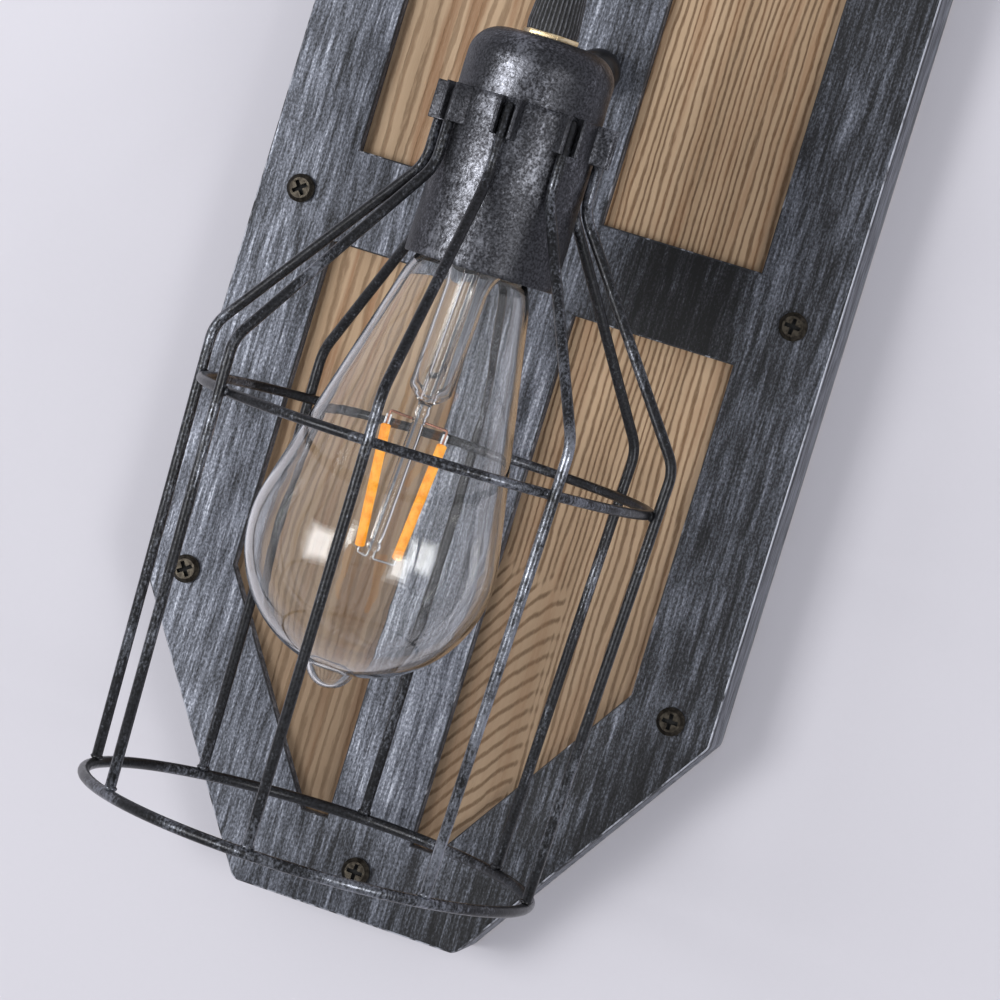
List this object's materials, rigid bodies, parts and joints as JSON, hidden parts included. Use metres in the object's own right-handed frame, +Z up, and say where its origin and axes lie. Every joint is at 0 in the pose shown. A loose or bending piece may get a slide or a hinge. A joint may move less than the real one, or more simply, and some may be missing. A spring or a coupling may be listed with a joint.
{
  "type": "wall light",
  "caption": "Caged bulb holder hanging on a short cord from a swan-neck arm in front of a long eight-sided wooden board with a grey frame.",
  "frame": {"origin": "middle of the board's back face, on the wall", "axes": "+Y into the wall, +Z up, +X to the right seen from the front"},
  "size_m": [0.164, 0.1574, 0.374],
  "materials": {
    "wood": "bare pine, oiled, with open brown grain",
    "overlay_paint": "black paint dry-brushed with silver along the board",
    "dark_screws": "dark bronze",
    "zinc_steel": "zinc plated",
    "black_enamel": "satin black",
    "terminal_plastic": "white nylon",
    "brass": "plain brass",
    "lead_insulation": "brown insulation",
    "black_plastic": "fine upright ribs",
    "cord_braid": "black braided cotton",
    "hammered_black": "black rubbed with silver, hammered",
    "porcelain": "white glaze",
    "cage_wire_paint": "black rubbed with silver",
    "solder": "soldered contact",
    "base_glass": "black glass",
    "bulb_base_metal": "rolled thread",
    "bulb_glass": "clear",
    "lit_filament": "lit",
    "copper_wire": "thin copper coloured wire"
  },
  "bodies": {
    "board": {"wood_board": "wood", "overlay_frame": "overlay_paint", "overlay_screws": "dark_screws", "wall_bracket": "zinc_steel", "bracket_studs": "zinc_steel", "ball_nuts": "black_enamel", "terminal_block": "terminal_plastic", "terminal_screws": "brass", "earth_screw": "brass", "supply_leads": "lead_insulation", "arm_plate": "black_enamel", "arm_plate_screws": "dark_screws", "arm_tube": "black_enamel", "arm_bushing": "black_plastic", "arm_cable": "cord_braid"},
    "cord": {"drop_cord": "cord_braid"},
    "lamp": {"cord_grip": "black_plastic", "brass_nut": "brass", "threaded_nipple": "zinc_steel", "lock_nut": "zinc_steel", "lamp_cable": "cord_braid", "lamp_leads": "lead_insulation", "holder_cap": "hammered_black", "porcelain_insert": "porcelain", "insert_screws": "brass", "thread_shell": "brass", "centre_contact": "brass", "cage_collar": "hammered_black", "upper_ring": "cage_wire_paint", "lower_ring": "cage_wire_paint", "cage_wire_1": "cage_wire_paint", "cage_wire_2": "cage_wire_paint", "cage_wire_3": "cage_wire_paint", "cage_wire_4": "cage_wire_paint", "cage_wire_5": "cage_wire_paint", "cage_wire_6": "cage_wire_paint", "cage_wire_7": "cage_wire_paint", "cage_wire_8": "cage_wire_paint"},
    "bulb_tip": {"bulb_contact": "solder"},
    "bulb": {"base_insulator": "base_glass", "bulb_base": "bulb_base_metal", "bulb_glass": "bulb_glass", "glass_stem": "bulb_glass", "glass_rod": "bulb_glass", "filament_1": "lit_filament", "filament_2": "lit_filament", "filament_wires": "copper_wire"}
  },
  "joints": [
    {"name": "cord_swing", "type": "hinge", "parent": "board", "child": "cord", "pos_m": [0, -0.0936, 0.122], "axis": [-1, 0, 0], "range_deg": [-1.8, 20]},
    {"name": "lamp_sway", "type": "hinge", "parent": "cord", "child": "lamp", "pos_m": [0, -0.0936, 0.0791], "axis": [0, 1, 0], "range_deg": [-12, 12]},
    {"name": "bulb_slide", "type": "slide", "parent": "lamp", "child": "bulb_tip", "axis": [-0.0523, 0, -0.9986], "range_m": [0, 0.0145]},
    {"name": "bulb_turn", "type": "hinge", "parent": "bulb_tip", "child": "bulb", "pos_m": [0, -0.0936, 0.02], "axis": [-0.0523, 0, -0.9986], "range_deg": [0, 1440]}
  ],
  "couplings": [
    {"joint": "bulb_slide", "follows": "bulb_turn", "m_per_rad": 0.00057614}
  ]
}
